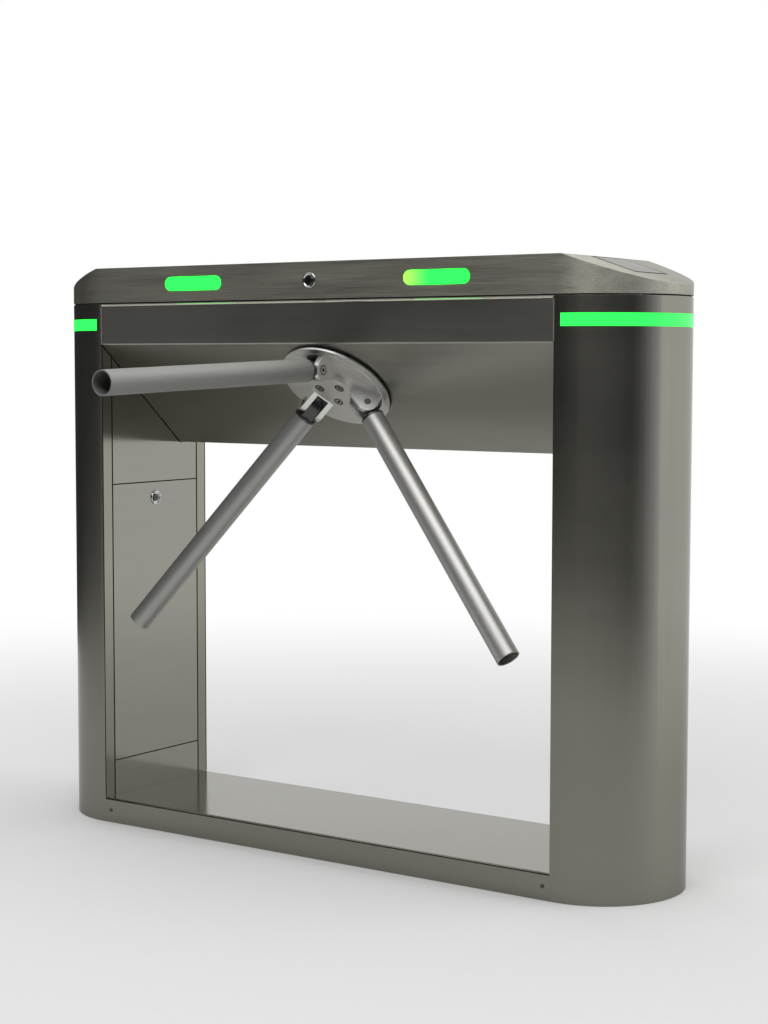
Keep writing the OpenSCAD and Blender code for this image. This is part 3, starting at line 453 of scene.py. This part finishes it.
# Dished collars of the three locks, from the seat behind the sheet to the rounded rim in front of it
def lock_collar(name, node, body, origin, outward, depth):
    face = [(9.5, 0.0), (13.0, 0.0), (13.0, 0.9), (12.7, 1.5), (12.1, 1.9), (11.4, 2.0), (10.7, 1.8),
            (10.2, 1.3), (9.6, 0.7), (8.2, 0.35), (6.56, 0.25)]
    face = [(r * MM, z * MM) for r, z in face]
    profile = [(face[0][0], -depth)] + face + [(face[-1][0], -depth)]
    collar = mesh_object(name, lock_metal, lambda bm: lathe(bm, profile, outward_frame(origin, outward)))
    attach(collar, body)
    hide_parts(node)


lock_collar("lid_lock_collar", "lid_lock_barrel", "lid", (0, FRONT_Y, LID_LOCK_Z), (0, -1, 0), 0.008)
for word, side in SIDES:
    lock_collar(word + "_lock_collar", "door_lock_barrels_" + word, word + "_door",
                (side * INNER_X, 0, DOOR_LOCK_Z), (-side, 0, 0), 0.012)


# Thin dark gasket round each reader window
def gasket(name, side):
    down = Vector((side * math.cos(SLOPE), 0, -math.sin(SLOPE)))
    out = Vector((side * math.sin(SLOPE), 0, math.cos(SLOPE)))
    across = out.cross(down)
    middle = Vector((side * SLOPE_X, 0, SLOPE_Z)) + down * (WINDOW_FROM + WINDOW_LENGTH / 2)
    frame_at = placed(middle, down, across, out)
    inner = (WINDOW_LENGTH / 2 - 0.2 * MM, WINDOW_WIDTH / 2 - 0.2 * MM)
    outer = (WINDOW_LENGTH / 2 + 2.2 * MM, WINDOW_WIDTH / 2 + 2.2 * MM)

    def build(bm):
        loops = []
        for (hx, hy), z in ((inner, 0.0), (inner, 0.5 * MM), (outer, 0.3 * MM), (outer, 0.0)):
            loops.append([bm.verts.new(frame_at @ Vector((sx * hx, sy * hy, z)))
                          for sx, sy in ((-1, -1), (1, -1), (1, 1), (-1, 1))])
        for j in range(4):
            a, b = loops[j], loops[(j + 1) % 4]
            for k in range(4):
                bm.faces.new((a[k], a[(k + 1) % 4], b[(k + 1) % 4], b[k]))

    piece = mesh_object(name, gasket_rubber_and_shade, build)
    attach(piece, "lid")


gasket("window_gasket_right", 1)
gasket("window_gasket_left", -1)


# Hemmed upper edge of the band, a rounded lip just under the lid, its steel painted lighter as a highlight
# along it
def band_lip():
    half = INNER_X - 1.5 * MM
    profile = [(1.8, -2.6), (-0.1, -4.6), (-0.8, -4.3), (-1.4, -3.8), (-1.6, -3.3), (-1.5, -2.9),
               (-1.38, -2.76), (1.12, -0.3), (1.3, -0.14), (1.7, 0.1), (1.9, -0.3)]

    def build(bm):
        prism(bm, [[(x, FRONT_Y + y * MM, BODY_TOP + z * MM) for y, z in profile] for x in (-half, half)])

    lip = mesh_object("band_lip", lip_highlight_steel, build)
    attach(lip, "cabinet")


band_lip()


# Black strips of painted shade beside the door and the fixed panels and along the shell's corners,
# and a bead of sealant under the beam's ends
def seam_shade_strips(name, side):
    """Four upright strips, in millimetres: along the wall, out from it, and up."""
    seam = 113.4
    corner = 139.8
    foot_z = 44.5
    beam_z = 669.5
    panel_z = 824.0
    band_z = 846.0
    beside_panels = [(seam, -0.8), (seam, 0.15), (seam + 0.2, 0.22), (seam + 2.5, 0.22), (seam + 2.8, 0.12),
                     (seam + 2.8, 0.0), (seam + 0.5, 0.0), (seam + 0.5, -0.8)]
    along_corner = [(corner - 2.2, -0.5), (corner - 2.2, 0.1), (corner - 2.0, 0.2), (corner - 0.4, 0.2),
                    (corner, 0.05), (corner, -0.5)]

    def build(bm):
        for edge, top, outline in ((-1, panel_z, beside_panels), (1, beam_z, beside_panels),
                                   (-1, band_z, along_corner), (1, beam_z, along_corner)):
            prism(bm, [[(side * (INNER_X - out * MM), edge * along * MM, z * MM) for along, out in outline]
                       for z in (foot_z, top)])

    piece = mesh_object(name, gasket_rubber_and_shade, build)
    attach(piece, "cabinet")


def joint_bead(name, side):
    """Quarter round bead down the inclined panel's end and along the beam's floor."""
    radius = 1.0 * MM
    down = Vector((0, 0, -1))
    wall = Vector((side * (INNER_X - 0.1 * MM), 0, 0))
    inward = Vector((-side, 0, 0))
    path = [(Vector((0, FRONT_Y + 0.4 * MM, BAND_FOOT - 0.4 * MM)), HUB_AXIS),
            (Vector((0, BEAM_FOOT_Y, BEAM_FOOT)), (HUB_AXIS + down).normalized()),
            (Vector((0, -FRONT_Y - 2.0 * MM, BEAM_FOOT)), down)]

    def build(bm):
        rings = []
        for point, out in path:
            turns = [math.radians(18 * k) for k in range(6)]
            curve = [(inward * math.cos(a) + out * math.sin(a)) * radius for a in turns]
            rings.append([wall + point] + [wall + point + p for p in curve])
        prism(bm, rings)

    piece = mesh_object(name, gasket_rubber_and_shade, build)
    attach(piece, "cabinet")


# Bright sheared edge of the column's sheet, upright beside the band
def sheet_edge(name, side):
    radius = 0.9 * MM
    centre = Vector((side * (INNER_X - 0.1 * MM), FRONT_Y + 0.1 * MM, 0))
    heights = (BAND_FOOT + 1.0 * MM, BODY_TOP - 5.2 * MM)

    def build(bm):
        turns = [math.pi * k / 6 for k in range(7)]
        rim = [Vector((radius * math.cos(a), -radius * math.sin(a), 0)) for a in turns]
        back = [Vector((-radius, 0.5 * MM, 0)), Vector((radius, 0.5 * MM, 0))]
        prism(bm, [[centre + p + Vector((0, 0, z)) for p in rim + back] for z in heights])

    piece = mesh_object(name, edge_metal, build)
    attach(piece, "cabinet")


for word, side in SIDES:
    seam_shade_strips("seam_shade_strips_" + word, side)
    joint_bead("joint_bead_" + word, side)
    sheet_edge("sheet_edge_" + word, side)


# Painted shade in the gaps round the screws' and pins' heads and in their hexagon sockets
def rim_shade_marks(name, places, r_in, r_out, socket_r):
    """Black chamfered rings and six sided socket floors, painted shade in the gaps and sockets, one pair on
    each frame, in millimetres.
    """
    ring = [(r_in, -0.1), (r_in, 0.06), (r_in + 0.2, 0.12), (r_out - 0.2, 0.12), (r_out, 0.06),
            (r_out, -0.1)]
    socket = [(0.15, -1.4), (socket_r, -1.4), (socket_r, 0.04), (socket_r - 0.35, 0.04), (0.4, -0.5),
              (0.15, -0.55)]

    def build(bm):
        for place in places:
            for outline, turns in ((ring, 40), (socket, 6)):
                lathe(bm, [(r * MM, z * MM) for r, z in outline], place, turns)

    piece = mesh_object(name, gasket_rubber_and_shade, build)
    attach(piece, "rotor")


BOSS_H = 0.020
SCREW_CIRCLE = 0.023
PIN_CIRCLE = 0.064
PIN_H = 0.025
EAR_OUT = 0.020
ACROSS = Vector((1, 0, 0))
screw_places = []
head_places = []
end_places = []
for angle in (0, 120, 240):
    a = math.radians(angle)
    radial = ACROSS * math.sin(a) + UP_SLOPE * math.cos(a)
    tangent = ACROSS * math.cos(a) - UP_SLOPE * math.sin(a)
    screw_places.append(outward_frame(HUB + HUB_AXIS * BOSS_H - radial * SCREW_CIRCLE, HUB_AXIS, radial))
    pivot = HUB + radial * PIN_CIRCLE + HUB_AXIS * PIN_H
    head_places.append(outward_frame(pivot + tangent * EAR_OUT, tangent, HUB_AXIS))
    end_places.append(outward_frame(pivot - tangent * EAR_OUT, -tangent, HUB_AXIS))
rim_shade_marks("hub_screw_gap_shade", screw_places, 6.1, 8.1, 2.6)
rim_shade_marks("pin_head_gap_shade", head_places, 6.6, 7.7, 2.7)
rim_shade_marks("pin_end_gap_shade", end_places, 4.2, 5.4, 2.0)


# Stage: floor, reflection cards, lights, camera

def floor_material(name, color, white_from, white_to):
    """Matt paper that fades to pure white between two distances from the middle."""
    s = Shader(name)
    s.bsdf.inputs["Roughness"].default_value = 0.9
    s.bsdf.inputs["Specular IOR Level"].default_value = 0.0
    speck = s.noise(s.coords(size=(0.02, 0.02, 0.02)), 3.0, 0.6)
    s.join(s.mix(s.vary(speck, 0.0, 1.0), scaled(color, 0.99), color), s.bsdf.inputs["Base Color"])
    tex = s.add("ShaderNodeTexCoord")
    length = s.add("ShaderNodeVectorMath", operation="LENGTH")
    s.join(tex.outputs["Object"], length.inputs[0])
    far = s.fit(length.outputs["Value"], white_from, white_to, 0.0, 1.0)
    far.node.interpolation_type = "SMOOTHSTEP"
    white = s.add("ShaderNodeEmission")
    white.inputs["Color"].default_value = (1, 1, 1, 1)
    blend = s.add("ShaderNodeMixShader")
    s.join(far, blend.inputs[0])
    s.join(s.bsdf.outputs["BSDF"], blend.inputs[1])
    s.join(white.outputs["Emission"], blend.inputs[2])
    s.join(blend.outputs["Shader"], s.out.inputs["Surface"])
    return s.mat


FLOOR_R = 9.0


def disc_floor(bm):
    turns = [2 * math.pi * k / 96 for k in range(96)]
    bm.faces.new([bm.verts.new((FLOOR_R * math.cos(a), FLOOR_R * math.sin(a), 0.0)) for a in turns])


floor = mesh_object("floor", floor_material("floor_paper", (0.80, 0.80, 0.80), 1.1, 3.2), disc_floor)
floor.location.z = -0.5 * MM


def card(name, azimuth_from, azimuth_to, radius, low, high, value, glow=0.0):
    """Curved card that only reflections see, between two azimuths from -Y towards +X, dark or glowing."""
    s = Shader(name + "_paper")
    tint = (value, value, value * 1.12)
    mottle = s.noise(s.coords(size=(0.5, 0.5, 0.5)))
    s.join(s.mix(mottle, tint, scaled(tint, 1.1)), s.bsdf.inputs["Base Color"])
    s.bsdf.inputs["Roughness"].default_value = 1.0
    s.bsdf.inputs["Specular IOR Level"].default_value = 0.0
    s.bsdf.inputs["Emission Color"].default_value = (1, 1, 1, 1)
    s.bsdf.inputs["Emission Strength"].default_value = glow

    def build(bm):
        steps = 24
        lows, highs = [], []
        for k in range(steps + 1):
            angle = math.radians(azimuth_from + (azimuth_to - azimuth_from) * k / steps)
            x, y = radius * math.sin(angle), -radius * math.cos(angle)
            lows.append(bm.verts.new((x, y, low)))
            highs.append(bm.verts.new((x, y, high)))
        for k in range(steps):
            bm.faces.new((lows[k], lows[k + 1], highs[k + 1], highs[k]))

    piece = mesh_object(name, s.mat, build)
    for ray in ("camera", "diffuse", "shadow", "transmission", "volume_scatter"):
        setattr(piece, "visible_" + ray, False)


card("card_left", -133, -50, 2.6, 0.0, 2.6, 0.04)
card("card_gleam", -50, -43, 2.6, 0.0, 2.6, 0.16)
card("card_turn", -43, -37, 2.6, 0.0, 2.6, 0.03)
card("card_front", -37, 10, 2.6, 0.0, 2.9, 0.010)
card("card_right", 10, 62, 2.6, 0.0, 2.9, 0.035)
card("card_side", 62, 73, 2.6, 0.0, 2.9, 0.02)
for step, share in enumerate((0.06, 0.14, 0.28, 0.46, 0.66)):
    card("card_fade_%d" % step, 73 + 6 * step, 79 + 6 * step, 2.6, 0.0, 2.9, share)
card("card_sky", -5, 116, 2.2, 2.3, 6.6, 0.5, 2.5)


def area(name, location, target, size, power):
    light = bpy.data.lights.new(name, "AREA")
    light.shape = "RECTANGLE"
    light.size, light.size_y = size
    light.energy = power
    obj = bpy.data.objects.new(name, light)
    obj.location = location
    obj.rotation_euler = (Vector(target) - Vector(location)).to_track_quat("-Z", "Y").to_euler()
    obj.visible_camera = False
    bpy.context.scene.collection.objects.link(obj)


area("front_light", (0.75, -2.25, 3.5), (0, -0.2, 0.7), (2.4, 1.3), 28)
area("key_light", (1.8, 0.6, 3.2), (0, 0, 0.6), (1.6, 1.6), 17)
area("fill_light", (-2.4, 1.2, 2.6), (0, 0, 0.5), (1.8, 1.8), 10)

# World of pure white to the camera and to reflections, and softer as a light
world = bpy.data.worlds.new("studio")
bpy.context.scene.world = world
world.use_nodes = True
tree = world.node_tree
tree.nodes.clear()
light_path = tree.nodes.new("ShaderNodeLightPath")
seen = light_path.outputs["Is Camera Ray"]
for ray in ("Is Glossy Ray", "Is Transmission Ray"):
    either_ray = tree.nodes.new("ShaderNodeMath")
    either_ray.operation = "MAXIMUM"
    tree.links.new(seen, either_ray.inputs[0])
    tree.links.new(light_path.outputs[ray], either_ray.inputs[1])
    seen = either_ray.outputs[0]
blend = tree.nodes.new("ShaderNodeMixShader")
tree.links.new(seen, blend.inputs[0])
for socket, strength in ((blend.inputs[1], 0.75), (blend.inputs[2], 1.0)):
    background = tree.nodes.new("ShaderNodeBackground")
    background.inputs["Color"].default_value = (1, 1, 1, 1)
    background.inputs["Strength"].default_value = strength
    tree.links.new(background.outputs[0], socket)
world_out = tree.nodes.new("ShaderNodeOutputWorld")
tree.links.new(blend.outputs[0], world_out.inputs["Surface"])

# Camera at the photograph's viewpoint, its lens given in pixels of the photograph
AZIMUTH = math.radians(34.747)
ELEVATION = math.radians(4.411)
ROLL = math.radians(0.097)
EYE = Vector((1.92409, -2.70032, 0.82102))
FOCAL_PIXELS = 1967.5
PHOTO_HEIGHT = 1024
SENSOR = 36.0
back = Vector((math.sin(AZIMUTH) * math.cos(ELEVATION), -math.cos(AZIMUTH) * math.cos(ELEVATION),
               math.sin(ELEVATION)))
level = Vector((math.cos(AZIMUTH), math.sin(AZIMUTH), 0.0))
upright = back.cross(level)
right = level * math.cos(ROLL) + upright * math.sin(ROLL)
up = upright * math.cos(ROLL) - level * math.sin(ROLL)
lens = bpy.data.cameras.new("camera")
lens.sensor_fit = "VERTICAL"
lens.sensor_height = SENSOR
lens.lens = FOCAL_PIXELS / PHOTO_HEIGHT * SENSOR
camera = bpy.data.objects.new("camera", lens)
camera.matrix_world = placed(EYE, right, up, back)
bpy.context.scene.collection.objects.link(camera)
bpy.context.scene.camera = camera

bpy.context.scene.view_settings.view_transform = "Standard"

bpy.context.view_layer.update()
